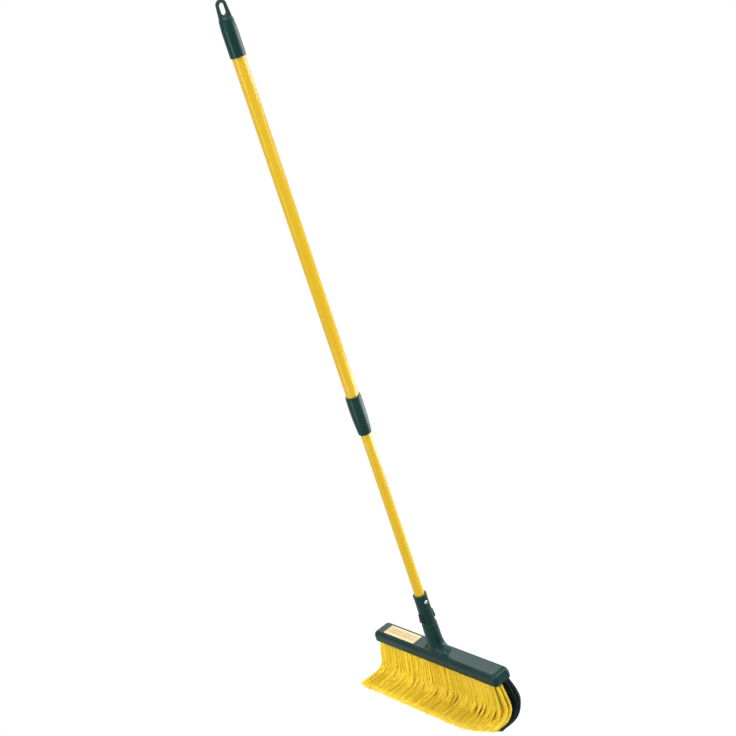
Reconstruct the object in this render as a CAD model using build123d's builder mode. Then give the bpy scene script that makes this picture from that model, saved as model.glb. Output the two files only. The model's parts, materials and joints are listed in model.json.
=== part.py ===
"""Outdoor broom: telescopic handle with a twist lock, on a push-button head with curled bristles.

Sizes are in millimetres. The origin is the centre of the hang slot. +Z runs up the handle, +X along
the head, and -Y is the front, the way the bristle tips point.
"""

import math
import os

from build123d import *

os.makedirs("parts", exist_ok=True)

# Clearances: fixed pieces of one body, pieces that slide or turn, and loose curved faces
FIXED_GAP = 0.10
RUN_GAP = 0.08
LOOSE_GAP = 0.30
END_GAP = 0.20

# Hang cap. The scooped shoulder's curve is steps of its height and of its spread.
SLOT_WIDTH = 13.0
SLOT_HEIGHT = 22.5
SLOT_TO_SHOULDER = 5.75
TONGUE_ARM = 6.4
TONGUE_TIP_ARM = 3.8
TONGUE_THICKNESS = 7.0
TONGUE_RIM = 6.0
TONGUE_EDGE_ROUND = 1.2
TONGUE_SINK = 3.0
SCOOP_HEIGHT = 9.0
SCOOP_INSET = 0.1
SCOOP_CURVE = ((-0.15, 1.0), (0.15, 0.55), (0.5, 0.2), (1.0, 0.0))
SHOULDER_INSET = 1.6
GRIP_WALL = 2.2
GRIP_LENGTH = 70.0
GRIP_TAPER_LENGTH = 29.0
GRIP_EDGE_ROUND = 1.0
TUBE_IN_CAP = 55.0

# Tubes, and the split guide bush between them, held by two rolled beads
UPPER_TUBE_WALL = 0.8
UPPER_TUBE_SHOWN = 686.0
LOWER_TUBE_OD = 20.6
LOWER_TUBE_WALL = 0.8
LOWER_TUBE_SHOWN = 380.0
LOWER_TUBE_OVERLAP = 310.0
TUBE_IN_CONNECTOR = 38.0
BUSH_WALL = 1.44
BUSH_LENGTH = 36.0
BUSH_SLIT = 2.0
BEAD_HEIGHT = 0.8
BEAD_LENGTH = 2.0
BEAD_FROM_END = 2.0

# Twist lock
COLLAR_LENGTH = 84.0
COLLAR_WALL = 2.3
COLLAR_BELLY = 0.6
COLLAR_BELLY_FROM_TOP = 29.0
COLLAR_LIP = 6.6
COLLAR_LIP_WALL = 2.5
COLLAR_TOP_ROUND = 1.0
COLLAR_BOTTOM_ROUND = 2.4
COLLET_PLUG_LENGTH = 30.0
COLLET_FLANGE = 3.0
JOURNAL_WALL = 1.2
JOURNAL_LENGTH = 18.0
FINGER_LENGTH = 14.0
FINGER_TIP_WALL = 0.6
FINGER_SLOT = 1.6
FINGER_SLOTS = 3
RING_LENGTH = 3.0
RING_WALL = 0.8

# Handle connector and its rivet
CONNECTOR_WALL = 3.7
CONNECTOR_RIM_STEP = 0.5
CONNECTOR_RIM_LENGTH = 6.0
CONNECTOR_EDGE_ROUND = 0.8
TUBE_TO_BUTTON = 4.5
PLUG_OD = 24.4
PLUG_LEDGE = 2.5
PLUG_LENGTH = 44.0
PLUG_CHAMFER = 1.5
RIVET_BELOW_MOUTH = 16.0
RIVET_OD = 4.0
RIVET_HEAD_OD = 8.0
RIVET_HEAD_HEIGHT = 1.9
RIVET_HEAD_ROUND = 1.5
RIVET_SPOT_DEPTH = 0.9

# Release buttons and their leaf spring
BUTTON_WIDTH = 12.0
BUTTON_HEIGHT = 19.5
BUTTON_ABOVE_MOUTH = 9.0
BUTTON_TOP_PROUD = 0.7
BUTTON_BOTTOM_PROUD = 2.7
BUTTON_ROUND = 1.0
BUTTON_TRAVEL = 3.0
BUTTON_SIDE_GAP = 0.25
ARM_WIDTH = 8.0
ARM_SETBACK = 1.2
ARM_THICKNESS = 2.5
HOOK_HEIGHT = 11.0
HOOK_CATCH = 1.6
HOOK_ABOVE_PLUG_END = 14.0
SPRING_WIDTH = 7.0
SPRING_THICKNESS = 0.7
SPRING_TOP_BELOW_BUTTON_TOP = 4.0

# Head cover. The flare's curve is steps of its height and of its spread.
SOCKET_HEIGHT = 64.0
SOCKET_WALL = 3.9
SOCKET_DRAFT = 0.5
SOCKET_EDGE_ROUND = 0.8
FLARE_HEIGHT = 32.0
FLARE_SPREAD = 25.5
FLARE_EDGE = 3.2
FLARE_CURVE = ((-0.08, 1.0), (0.14, 0.50), (0.36, 0.20), (0.66, 0.04))
BLOCK_LENGTH = 381.0
BLOCK_DEPTH = 45.0
BLOCK_HEIGHT = 23.5
BLOCK_END_ROUND = 13.0
BLOCK_EDGE_ROUND = 8.5
BLOCK_BOTTOM_ROUND = 1.4
COVER_WALL = 2.0
COVER_END_WALL = 4.0
COVER_ROOF = 5.0
CAVITY_CORNER = 12.0
BOSS_OD = 9.0

# Bristle carrier and its screws
CARRIER_THICKNESS = 8.5
OUTER_SCREW_FROM_END = 40.5
INNER_SCREW_FROM_MIDDLE = 60.0
SCREW_OD = 3.6
SCREW_HEAD_OD = 7.2
SCREW_HEAD_HEIGHT = 2.4
SCREW_SHORT_OF_ROOF = 2.0

# Label plate
LABEL_LENGTH = 97.0
LABEL_FROM_END = 29.5
LABEL_SIDE_MARGIN = 0.5
LABEL_THICKNESS = 0.4
LABEL_CORNER = 2.0

# Bristle rows, front to rear
STRANDS_PER_ROW = 70
ROWS_PER_COLOUR = 3
SCREW_LANE_GAP = 0.7
STRIP_HEIGHT = 3.0
STRIP_SIDE_GAP = 0.3
STRAND_WIDTH = 2.4
STRAND_THICKNESS = 2.0
STRAND_EMBED = 1.5
STRAND_END_MARGIN = 2.4
FAN_ANGLE = 8.5
FRONT_SWEEP = 10.3
REAR_SWEEP = 20.8
FRONT_DROP = 72.0
REAR_DROP = 91.5
FRONT_BEND = 16.0
REAR_BEND = 33.0
FRONT_REACH = 60.5
REAR_REACH = 105.0
RIGHT_TIP_TRIM = 24.0
TRIM_FROM = 0.35

# Sizes that fits share
UPPER_TUBE_OD = LOWER_TUBE_OD + 2 * (RUN_GAP + BUSH_WALL + RUN_GAP + UPPER_TUBE_WALL)
UPPER_TUBE_R = UPPER_TUBE_OD / 2
UPPER_BORE_R = UPPER_TUBE_R - UPPER_TUBE_WALL
LOWER_TUBE_R = LOWER_TUBE_OD / 2
GRIP_R = UPPER_TUBE_R + FIXED_GAP + GRIP_WALL
SHOULDER_R = GRIP_R - SHOULDER_INSET
TONGUE_WIDTH = SLOT_WIDTH + 2 * TONGUE_ARM
TONGUE_TIP_WIDTH = SLOT_WIDTH + 2 * TONGUE_TIP_ARM
COLLET_BORE_R = LOWER_TUBE_R + LOOSE_GAP
JOURNAL_R = COLLET_BORE_R + JOURNAL_WALL
FINGER_TIP_R = COLLET_BORE_R + FINGER_TIP_WALL
RING_R = COLLET_BORE_R + RING_WALL
COLLAR_BORE_R = UPPER_TUBE_R + LOOSE_GAP
COLLAR_TOP_R = COLLAR_BORE_R + COLLAR_WALL
COLLAR_BOTTOM_R = COLLET_BORE_R + COLLAR_LIP_WALL
CONNECTOR_TOP_R = LOWER_TUBE_R + FIXED_GAP + CONNECTOR_WALL
CONNECTOR_RIM_R = CONNECTOR_TOP_R + CONNECTOR_RIM_STEP
PLUG_R = PLUG_OD / 2
CONNECTOR_BOTTOM_R = PLUG_R + PLUG_LEDGE
SOCKET_MOUTH_R = PLUG_R + FIXED_GAP + SOCKET_WALL
SOCKET_WAIST_R = SOCKET_MOUTH_R + SOCKET_DRAFT

# Levels, from the hang slot down to the block
TONGUE_TOP_Z = SLOT_HEIGHT / 2 + TONGUE_RIM
SHOULDER_Z = -(SLOT_HEIGHT / 2 + SLOT_TO_SHOULDER)
GRIP_BOTTOM_Z = SHOULDER_Z - GRIP_LENGTH
GRIP_TAPER_Z = SHOULDER_Z - GRIP_TAPER_LENGTH
UPPER_TUBE_TOP_Z = GRIP_BOTTOM_Z + TUBE_IN_CAP
COLLAR_TOP_Z = GRIP_BOTTOM_Z - UPPER_TUBE_SHOWN
COLLAR_BOTTOM_Z = COLLAR_TOP_Z - COLLAR_LENGTH
LOWER_TUBE_TOP_Z = COLLAR_TOP_Z + LOWER_TUBE_OVERLAP
CONNECTOR_TOP_Z = COLLAR_BOTTOM_Z - LOWER_TUBE_SHOWN
LOWER_TUBE_BOTTOM_Z = CONNECTOR_TOP_Z - TUBE_IN_CONNECTOR
BUTTON_TOP_Z = LOWER_TUBE_BOTTOM_Z - TUBE_TO_BUTTON
BUTTON_BOTTOM_Z = BUTTON_TOP_Z - BUTTON_HEIGHT
SOCKET_MOUTH_Z = BUTTON_BOTTOM_Z - BUTTON_ABOVE_MOUTH
BLOCK_TOP_Z = SOCKET_MOUTH_Z - SOCKET_HEIGHT
BLOCK_BOTTOM_Z = BLOCK_TOP_Z - BLOCK_HEIGHT

# Guide bush levels
BEAD_TOP_Z = LOWER_TUBE_TOP_Z - BEAD_FROM_END
BUSH_TOP_Z = BEAD_TOP_Z - BEAD_LENGTH - END_GAP
BUSH_BOTTOM_Z = BUSH_TOP_Z - BUSH_LENGTH
LOWER_BEAD_TOP_Z = BUSH_BOTTOM_Z - END_GAP

# Twist lock levels, from the collar's lip up
RING_BOTTOM_Z = COLLAR_BOTTOM_Z + COLLAR_LIP + FIXED_GAP
RING_TOP_Z = RING_BOTTOM_Z + RING_LENGTH
FINGER_BOTTOM_Z = RING_TOP_Z + LOOSE_GAP
JOURNAL_BOTTOM_Z = FINGER_BOTTOM_Z + FINGER_LENGTH
FLANGE_BOTTOM_Z = JOURNAL_BOTTOM_Z + JOURNAL_LENGTH
UPPER_TUBE_BOTTOM_Z = FLANGE_BOTTOM_Z + COLLET_FLANGE

# Connector and button levels
PLUG_BOTTOM_Z = SOCKET_MOUTH_Z - PLUG_LENGTH
HOOK_BOTTOM_Z = PLUG_BOTTOM_Z + HOOK_ABOVE_PLUG_END
HOOK_TOP_Z = HOOK_BOTTOM_Z + HOOK_HEIGHT
HOOK_REACH = PLUG_R + HOOK_CATCH
ARM_OUTER = PLUG_R - ARM_SETBACK
ARM_INNER = ARM_OUTER - ARM_THICKNESS
ARM_SLOT_INNER = ARM_INNER - BUTTON_TRAVEL - LOOSE_GAP
BUTTON_TOP_REACH = CONNECTOR_BOTTOM_R + BUTTON_TOP_PROUD
BUTTON_BOTTOM_REACH = CONNECTOR_BOTTOM_R + BUTTON_BOTTOM_PROUD
SPRING_OUTER = ARM_INNER - LOOSE_GAP
SPRING_TOP_Z = BUTTON_TOP_Z - SPRING_TOP_BELOW_BUTTON_TOP
SPRING_BEND_Z = HOOK_BOTTOM_Z + SPRING_OUTER / 2
SPRING_BOTTOM_Z = SPRING_BEND_Z - SPRING_OUTER
RIVET_Z = CONNECTOR_TOP_Z - RIVET_BELOW_MOUTH
RIVET_SEAT_X = CONNECTOR_TOP_R - RIVET_SPOT_DEPTH

# Head levels and plan sizes
ROOF_Z = BLOCK_TOP_Z - COVER_ROOF
CARRIER_BOTTOM_Z = BLOCK_BOTTOM_Z + STRIP_HEIGHT
BOSS_BOTTOM_Z = CARRIER_BOTTOM_Z + CARRIER_THICKNESS
BOSS_HEIGHT = ROOF_Z - BOSS_BOTTOM_Z
SCREW_IN_BOSS = BOSS_HEIGHT - SCREW_SHORT_OF_ROOF
CAVITY_LENGTH = BLOCK_LENGTH - 2 * COVER_END_WALL
CAVITY_DEPTH = BLOCK_DEPTH - 2 * COVER_WALL
OUTER_SCREW_X = BLOCK_LENGTH / 2 - OUTER_SCREW_FROM_END
CARRIER_SCREW_X = (-OUTER_SCREW_X, -INNER_SCREW_FROM_MIDDLE, INNER_SCREW_FROM_MIDDLE, OUTER_SCREW_X)
LABEL_WIDTH = BLOCK_DEPTH - 2 * (BLOCK_EDGE_ROUND + LABEL_SIDE_MARGIN)
LABEL_CENTRE_X = LABEL_FROM_END + LABEL_LENGTH / 2 - BLOCK_LENGTH / 2


# A tube between two levels
def tube(outer_r, inner_r, bottom_z, top_z):
    with BuildSketch(Plane.XY.offset(bottom_z)) as ring:
        Circle(outer_r)
        Circle(inner_r, mode=Mode.SUBTRACT)
    extrude(ring.sketch, amount=top_z - bottom_z)


# A turned shape about the handle from (radius, height) points
def turned(points):
    with BuildSketch(Plane.XZ) as profile:
        with BuildLine():
            Polyline(*points, close=True)
        make_face()
    revolve(profile.sketch, axis=Axis.Z)


# A block between two corners, added or cut
def block(low, high, mode=Mode.ADD):
    size = [high[i] - low[i] for i in range(3)]
    with Locations(tuple(low)):
        Box(*size, align=(Align.MIN, Align.MIN, Align.MIN), mode=mode)


# Round edges of a part that lie at one level on the handle's axis
def ring_edges(part, level):
    circles = part.edges().filter_by(GeomType.CIRCLE)
    return circles.filter_by(lambda e: (e.arc_center - Vector(0, 0, level)).length < 0.01)


with BuildPart() as hang_cap:
    with BuildSketch(Plane.YZ):
        with Locations((0, TONGUE_TOP_Z - TONGUE_TIP_WIDTH / 2)):
            Circle(TONGUE_TIP_WIDTH / 2)
        with Locations((0, SHOULDER_Z)):
            Rectangle(TONGUE_WIDTH, TONGUE_SINK, align=(Align.CENTER, Align.MAX))
        make_hull()
    extrude(amount=TONGUE_THICKNESS / 2, both=True)
    with BuildSketch(Plane.YZ) as slot:
        SlotOverall(SLOT_HEIGHT, SLOT_WIDTH, rotation=90)
    extrude(amount=TONGUE_THICKNESS, both=True, mode=Mode.SUBTRACT)
    tongue_edges = hang_cap.edges().filter_by(
        lambda e: abs(abs(e.center().X) - TONGUE_THICKNESS / 2) < 0.01 and e.center().Z > SHOULDER_Z - 1.0
    )
    fillet(tongue_edges, radius=TONGUE_EDGE_ROUND)
    rim_r = SHOULDER_R - GRIP_EDGE_ROUND
    rim_z = SHOULDER_Z - GRIP_EDGE_ROUND
    with BuildSketch(Plane.XZ):
        with BuildLine():
            Line((GRIP_R, GRIP_BOTTOM_Z), (GRIP_R, GRIP_TAPER_Z))
            TangentArc((GRIP_R, GRIP_TAPER_Z), (SHOULDER_R, rim_z), tangent=(0, 1))
            CenterArc((rim_r, rim_z), GRIP_EDGE_ROUND, 0, 90)
            Polyline((rim_r, SHOULDER_Z), (0, SHOULDER_Z), (0, GRIP_BOTTOM_Z), (GRIP_R, GRIP_BOTTOM_Z))
        make_face()
    revolve(axis=Axis.Z)
    scoop_reach = rim_r - SCOOP_INSET
    scoop_x = TONGUE_THICKNESS / 2 - SCOOP_INSET
    scoop_y = TONGUE_TIP_WIDTH / 2 - SCOOP_INSET
    for share, spread in SCOOP_CURVE:
        with BuildSketch(Plane.XY.offset(SHOULDER_Z + share * SCOOP_HEIGHT)):
            Ellipse(
                scoop_x + spread * (scoop_reach - scoop_x),
                scoop_y + spread * (scoop_reach - scoop_y),
            )
    loft()
    extrude(slot.sketch, amount=GRIP_R, both=True, mode=Mode.SUBTRACT)
    with Locations((0, 0, GRIP_BOTTOM_Z)):
        Cylinder(
            UPPER_TUBE_R + FIXED_GAP,
            TUBE_IN_CAP + END_GAP,
            align=(Align.CENTER, Align.CENTER, Align.MIN),
            mode=Mode.SUBTRACT,
        )
    rim = ring_edges(hang_cap, GRIP_BOTTOM_Z).sort_by(SortBy.RADIUS)[-1]
    fillet(rim, radius=GRIP_EDGE_ROUND)
hang_cap.part.label = "hang_cap"
export_step(hang_cap.part, "parts/hang_cap.step")

with BuildPart() as upper_tube:
    tube(UPPER_TUBE_R, UPPER_BORE_R, UPPER_TUBE_BOTTOM_Z, UPPER_TUBE_TOP_Z)
upper_tube.part.label = "upper_tube"
export_step(upper_tube.part, "parts/upper_tube.step")

with BuildPart() as collet:
    turned(
        [
            (COLLET_BORE_R, UPPER_TUBE_BOTTOM_Z + COLLET_PLUG_LENGTH),
            (UPPER_BORE_R - FIXED_GAP, UPPER_TUBE_BOTTOM_Z + COLLET_PLUG_LENGTH),
            (UPPER_BORE_R - FIXED_GAP, UPPER_TUBE_BOTTOM_Z),
            (UPPER_TUBE_R, UPPER_TUBE_BOTTOM_Z),
            (UPPER_TUBE_R, FLANGE_BOTTOM_Z),
            (JOURNAL_R, FLANGE_BOTTOM_Z),
            (JOURNAL_R, JOURNAL_BOTTOM_Z),
            (FINGER_TIP_R, FINGER_BOTTOM_Z),
            (COLLET_BORE_R, FINGER_BOTTOM_Z),
        ]
    )
    with PolarLocations(0, FINGER_SLOTS, angular_range=180):
        with Locations((0, 0, FINGER_BOTTOM_Z)):
            Box(
                UPPER_TUBE_OD,
                FINGER_SLOT,
                FINGER_LENGTH,
                align=(Align.CENTER, Align.CENTER, Align.MIN),
                mode=Mode.SUBTRACT,
            )
collet.part.label = "collet"
export_step(collet.part, "parts/collet.step")

with BuildPart() as twist_collar:
    with BuildSketch(Plane.XZ):
        with BuildLine():
            ThreePointArc(
                (COLLAR_TOP_R, COLLAR_TOP_Z),
                (COLLAR_TOP_R + COLLAR_BELLY, COLLAR_TOP_Z - COLLAR_BELLY_FROM_TOP),
                (COLLAR_BOTTOM_R, COLLAR_BOTTOM_Z),
            )
            Polyline(
                (COLLAR_BOTTOM_R, COLLAR_BOTTOM_Z),
                (COLLET_BORE_R, COLLAR_BOTTOM_Z),
                (COLLET_BORE_R, COLLAR_BOTTOM_Z + COLLAR_LIP),
                (RING_R + LOOSE_GAP, COLLAR_BOTTOM_Z + COLLAR_LIP),
                (RING_R + LOOSE_GAP, FINGER_BOTTOM_Z),
                (JOURNAL_R + RUN_GAP, JOURNAL_BOTTOM_Z),
                (JOURNAL_R + RUN_GAP, FLANGE_BOTTOM_Z - LOOSE_GAP),
                (COLLAR_BORE_R, FLANGE_BOTTOM_Z - LOOSE_GAP),
                (COLLAR_BORE_R, COLLAR_TOP_Z),
                (COLLAR_TOP_R, COLLAR_TOP_Z),
            )
        make_face()
    revolve(axis=Axis.Z)
    fillet(ring_edges(twist_collar, COLLAR_TOP_Z).sort_by(SortBy.RADIUS)[-1], radius=COLLAR_TOP_ROUND)
    fillet(ring_edges(twist_collar, COLLAR_BOTTOM_Z).sort_by(SortBy.RADIUS)[-1], radius=COLLAR_BOTTOM_ROUND)
twist_collar.part.label = "twist_collar"
export_step(twist_collar.part, "parts/twist_collar.step")

with BuildPart() as thrust_ring:
    tube(RING_R, COLLET_BORE_R, RING_BOTTOM_Z, RING_TOP_Z)
thrust_ring.part.label = "thrust_ring"
export_step(thrust_ring.part, "parts/thrust_ring.step")

with BuildPart() as guide_bush:
    tube(UPPER_BORE_R - RUN_GAP, LOWER_TUBE_R + RUN_GAP, BUSH_BOTTOM_Z, BUSH_TOP_Z)
    block((0, -BUSH_SLIT / 2, BUSH_BOTTOM_Z), (UPPER_TUBE_R, BUSH_SLIT / 2, BUSH_TOP_Z), Mode.SUBTRACT)
guide_bush.part.label = "guide_bush"
export_step(guide_bush.part, "parts/guide_bush.step")

with BuildPart() as lower_tube:
    tube(LOWER_TUBE_R + BEAD_HEIGHT, LOWER_TUBE_R - LOWER_TUBE_WALL, BEAD_TOP_Z - BEAD_LENGTH, BEAD_TOP_Z)
    tube(
        LOWER_TUBE_R + BEAD_HEIGHT,
        LOWER_TUBE_R - LOWER_TUBE_WALL,
        LOWER_BEAD_TOP_Z - BEAD_LENGTH,
        LOWER_BEAD_TOP_Z,
    )
    tube(LOWER_TUBE_R, LOWER_TUBE_R - LOWER_TUBE_WALL, LOWER_TUBE_BOTTOM_Z, LOWER_TUBE_TOP_Z)
    with Locations((0, 0, RIVET_Z)):
        Cylinder(RIVET_OD / 2 + FIXED_GAP, UPPER_TUBE_OD, rotation=(0, 90, 0), mode=Mode.SUBTRACT)
lower_tube.part.label = "lower_tube"
export_step(lower_tube.part, "parts/lower_tube.step")

with BuildPart() as handle_connector:
    turned(
        [
            (0, PLUG_BOTTOM_Z),
            (PLUG_R - PLUG_CHAMFER, PLUG_BOTTOM_Z),
            (PLUG_R, PLUG_BOTTOM_Z + PLUG_CHAMFER),
            (PLUG_R, SOCKET_MOUTH_Z),
            (CONNECTOR_BOTTOM_R, SOCKET_MOUTH_Z),
            (CONNECTOR_TOP_R, CONNECTOR_TOP_Z - CONNECTOR_RIM_LENGTH),
            (CONNECTOR_RIM_R, CONNECTOR_TOP_Z - CONNECTOR_RIM_LENGTH),
            (CONNECTOR_RIM_R, CONNECTOR_TOP_Z),
            (0, CONNECTOR_TOP_Z),
        ]
    )
    fillet(ring_edges(handle_connector, CONNECTOR_TOP_Z), radius=CONNECTOR_EDGE_ROUND)
    with Locations((0, 0, CONNECTOR_TOP_Z)):
        Cylinder(
            LOWER_TUBE_R + FIXED_GAP,
            TUBE_IN_CONNECTOR,
            align=(Align.CENTER, Align.CENTER, Align.MAX),
            mode=Mode.SUBTRACT,
        )
    with Locations((0, 0, SPRING_BOTTOM_Z - END_GAP)):
        Cylinder(
            ARM_INNER,
            LOWER_TUBE_BOTTOM_Z - SPRING_BOTTOM_Z + END_GAP,
            align=(Align.CENTER, Align.CENTER, Align.MIN),
            mode=Mode.SUBTRACT,
        )
    block(
        (-BUTTON_WIDTH / 2 - BUTTON_SIDE_GAP, -2 * CONNECTOR_BOTTOM_R, BUTTON_BOTTOM_Z - BUTTON_SIDE_GAP),
        (BUTTON_WIDTH / 2 + BUTTON_SIDE_GAP, 2 * CONNECTOR_BOTTOM_R, BUTTON_TOP_Z + BUTTON_SIDE_GAP),
        Mode.SUBTRACT,
    )
    arm_side = ARM_WIDTH / 2 + BUTTON_SIDE_GAP
    arm_reach = ARM_OUTER + LOOSE_GAP
    slot_bottom = HOOK_BOTTOM_Z - 2 * BUTTON_SIDE_GAP
    block((-arm_side, ARM_SLOT_INNER, slot_bottom), (arm_side, arm_reach, BUTTON_BOTTOM_Z), Mode.SUBTRACT)
    block((-arm_side, -arm_reach, slot_bottom), (arm_side, -ARM_SLOT_INNER, BUTTON_BOTTOM_Z), Mode.SUBTRACT)
    block((-arm_side, -PLUG_OD, slot_bottom), (arm_side, -ARM_SLOT_INNER, SOCKET_MOUTH_Z), Mode.SUBTRACT)
    block((-arm_side, ARM_SLOT_INNER, slot_bottom), (arm_side, PLUG_OD, SOCKET_MOUTH_Z), Mode.SUBTRACT)
    with Locations((0, 0, RIVET_Z)):
        Cylinder(RIVET_OD / 2 + FIXED_GAP, 4 * CONNECTOR_RIM_R, rotation=(0, 90, 0), mode=Mode.SUBTRACT)
    for side in (-1, 1):
        with BuildSketch(Plane((side * RIVET_SEAT_X, 0, RIVET_Z), x_dir=(0, 1, 0), z_dir=(side, 0, 0))):
            Circle(RIVET_HEAD_OD / 2 + FIXED_GAP)
        extrude(amount=CONNECTOR_RIM_R, mode=Mode.SUBTRACT)
handle_connector.part.label = "handle_connector"
export_step(handle_connector.part, "parts/handle_connector.step")

with BuildPart() as connector_rivet:
    with Locations((0, 0, RIVET_Z)):
        Cylinder(RIVET_OD / 2, 2 * RIVET_SEAT_X, rotation=(0, 90, 0))
    for side in (-1, 1):
        with BuildSketch(Plane((side * RIVET_SEAT_X, 0, RIVET_Z), x_dir=(0, 1, 0), z_dir=(side, 0, 0))):
            Circle(RIVET_HEAD_OD / 2)
        extrude(amount=RIVET_HEAD_HEIGHT)
    crown_x = RIVET_SEAT_X + RIVET_HEAD_HEIGHT
    crown_edges = connector_rivet.edges().filter_by(lambda e: abs(e.center().X) > crown_x - 0.01)
    fillet(crown_edges, radius=RIVET_HEAD_ROUND)
connector_rivet.part.label = "connector_rivet"
export_step(connector_rivet.part, "parts/connector_rivet.step")

with BuildPart() as release_button_front:
    with BuildSketch(Plane.YZ):
        with BuildLine():
            Polyline(
                (-ARM_INNER, BUTTON_TOP_Z),
                (-BUTTON_TOP_REACH, BUTTON_TOP_Z),
                (-BUTTON_BOTTOM_REACH, BUTTON_BOTTOM_Z + BUTTON_ROUND),
                (-BUTTON_BOTTOM_REACH, BUTTON_BOTTOM_Z),
                (-ARM_INNER, BUTTON_BOTTOM_Z),
                close=True,
            )
        make_face()
    extrude(amount=BUTTON_WIDTH / 2, both=True)
    pad_edges = release_button_front.edges().filter_by(
        lambda e: abs(e.center().Y) > CONNECTOR_BOTTOM_R + BUTTON_TOP_PROUD / 2
    )
    fillet(pad_edges, radius=BUTTON_ROUND / 2)
    block((-ARM_WIDTH / 2, -ARM_OUTER, HOOK_BOTTOM_Z), (ARM_WIDTH / 2, -ARM_INNER, BUTTON_BOTTOM_Z))
    with BuildSketch(Plane.YZ):
        with BuildLine():
            Polyline(
                (-ARM_INNER, HOOK_TOP_Z),
                (-HOOK_REACH, HOOK_TOP_Z),
                (-HOOK_REACH, HOOK_TOP_Z - HOOK_HEIGHT / 3),
                (-ARM_OUTER, HOOK_BOTTOM_Z),
                (-ARM_INNER, HOOK_BOTTOM_Z),
                close=True,
            )
        make_face()
    extrude(amount=ARM_WIDTH / 2, both=True)
release_button_front.part.label = "release_button_front"
export_step(release_button_front.part, "parts/release_button_front.step")

with BuildPart() as release_button_rear:
    add(release_button_front.part.rotate(Axis.Z, 180))
release_button_rear.part.label = "release_button_rear"
export_step(release_button_rear.part, "parts/release_button_rear.step")

with BuildPart() as button_spring:
    with BuildSketch(Plane.YZ):
        with Locations((0, SPRING_BEND_Z)):
            Circle(SPRING_OUTER)
            Rectangle(2 * SPRING_OUTER, SPRING_TOP_Z - SPRING_BEND_Z, align=(Align.CENTER, Align.MIN))
            Circle(SPRING_OUTER - SPRING_THICKNESS, mode=Mode.SUBTRACT)
            Rectangle(
                2 * (SPRING_OUTER - SPRING_THICKNESS),
                SPRING_TOP_Z - SPRING_BEND_Z,
                align=(Align.CENTER, Align.MIN),
                mode=Mode.SUBTRACT,
            )
    extrude(amount=SPRING_WIDTH / 2, both=True)
button_spring.part.label = "button_spring"
export_step(button_spring.part, "parts/button_spring.step")

with BuildPart() as head_cover:
    with BuildSketch(Plane.XZ) as side_view:
        with Locations((0, BLOCK_BOTTOM_Z)):
            Rectangle(BLOCK_LENGTH, BLOCK_HEIGHT, align=(Align.CENTER, Align.MIN))
        fillet(side_view.vertices().group_by(Axis.Y)[-1], radius=BLOCK_END_ROUND)
    extrude(amount=BLOCK_DEPTH / 2, both=True)
    side_edges = head_cover.faces().filter_by(Axis.Y).edges()
    upper_edges = side_edges.filter_by(lambda e: e.center().Z > BLOCK_BOTTOM_Z + 0.01)
    fillet(upper_edges, radius=BLOCK_EDGE_ROUND)
    fillet(head_cover.faces().sort_by(Axis.Z)[0].edges(), radius=BLOCK_BOTTOM_ROUND)
    flare_depth = BLOCK_DEPTH / 2 - FLARE_EDGE
    for share, spread in FLARE_CURVE:
        with BuildSketch(Plane.XY.offset(BLOCK_TOP_Z + share * FLARE_HEIGHT)):
            Ellipse(
                SOCKET_WAIST_R + spread * FLARE_SPREAD,
                SOCKET_WAIST_R + spread * (flare_depth - SOCKET_WAIST_R),
            )
    for share in (0.0, 0.5, 1.0):
        straight_z = BLOCK_TOP_Z + FLARE_HEIGHT + share * (SOCKET_HEIGHT - FLARE_HEIGHT)
        with BuildSketch(Plane.XY.offset(straight_z)):
            Circle(SOCKET_WAIST_R - share * SOCKET_DRAFT)
    loft()
    fillet(head_cover.faces().sort_by(Axis.Z)[-1].edges(), radius=SOCKET_EDGE_ROUND)
    with BuildSketch(Plane.XY.offset(BLOCK_BOTTOM_Z)):
        RectangleRounded(CAVITY_LENGTH, CAVITY_DEPTH, CAVITY_CORNER)
    extrude(amount=BLOCK_HEIGHT - COVER_ROOF, mode=Mode.SUBTRACT)
    with Locations((0, 0, PLUG_BOTTOM_Z - END_GAP)):
        Cylinder(
            PLUG_R + FIXED_GAP,
            PLUG_LENGTH + END_GAP,
            align=(Align.CENTER, Align.CENTER, Align.MIN),
            mode=Mode.SUBTRACT,
        )
    hook_side = ARM_WIDTH / 2 + 2 * BUTTON_SIDE_GAP
    hook_reach = HOOK_REACH + 2 * BUTTON_SIDE_GAP
    block(
        (-hook_side, -hook_reach, HOOK_BOTTOM_Z - BUTTON_SIDE_GAP),
        (hook_side, hook_reach, HOOK_TOP_Z + BUTTON_SIDE_GAP),
        Mode.SUBTRACT,
    )
    with Locations(*[(x, 0, ROOF_Z) for x in CARRIER_SCREW_X]):
        Cylinder(BOSS_OD / 2, BOSS_HEIGHT, align=(Align.CENTER, Align.CENTER, Align.MAX))
    with Locations(*[(x, 0, BOSS_BOTTOM_Z) for x in CARRIER_SCREW_X]):
        Cylinder(
            SCREW_OD / 2 + FIXED_GAP,
            SCREW_IN_BOSS + END_GAP,
            align=(Align.CENTER, Align.CENTER, Align.MIN),
            mode=Mode.SUBTRACT,
        )
head_cover.part.label = "head_cover"
export_step(head_cover.part, "parts/head_cover.step")

with BuildPart() as bristle_carrier:
    with BuildSketch(Plane.XY.offset(CARRIER_BOTTOM_Z)):
        RectangleRounded(
            CAVITY_LENGTH - 2 * FIXED_GAP,
            CAVITY_DEPTH - 2 * FIXED_GAP,
            CAVITY_CORNER - FIXED_GAP,
        )
        with Locations(*[(x, 0) for x in CARRIER_SCREW_X]):
            Circle(SCREW_OD / 2 + FIXED_GAP, mode=Mode.SUBTRACT)
    extrude(amount=CARRIER_THICKNESS)
bristle_carrier.part.label = "bristle_carrier"
export_step(bristle_carrier.part, "parts/bristle_carrier.step")

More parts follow.
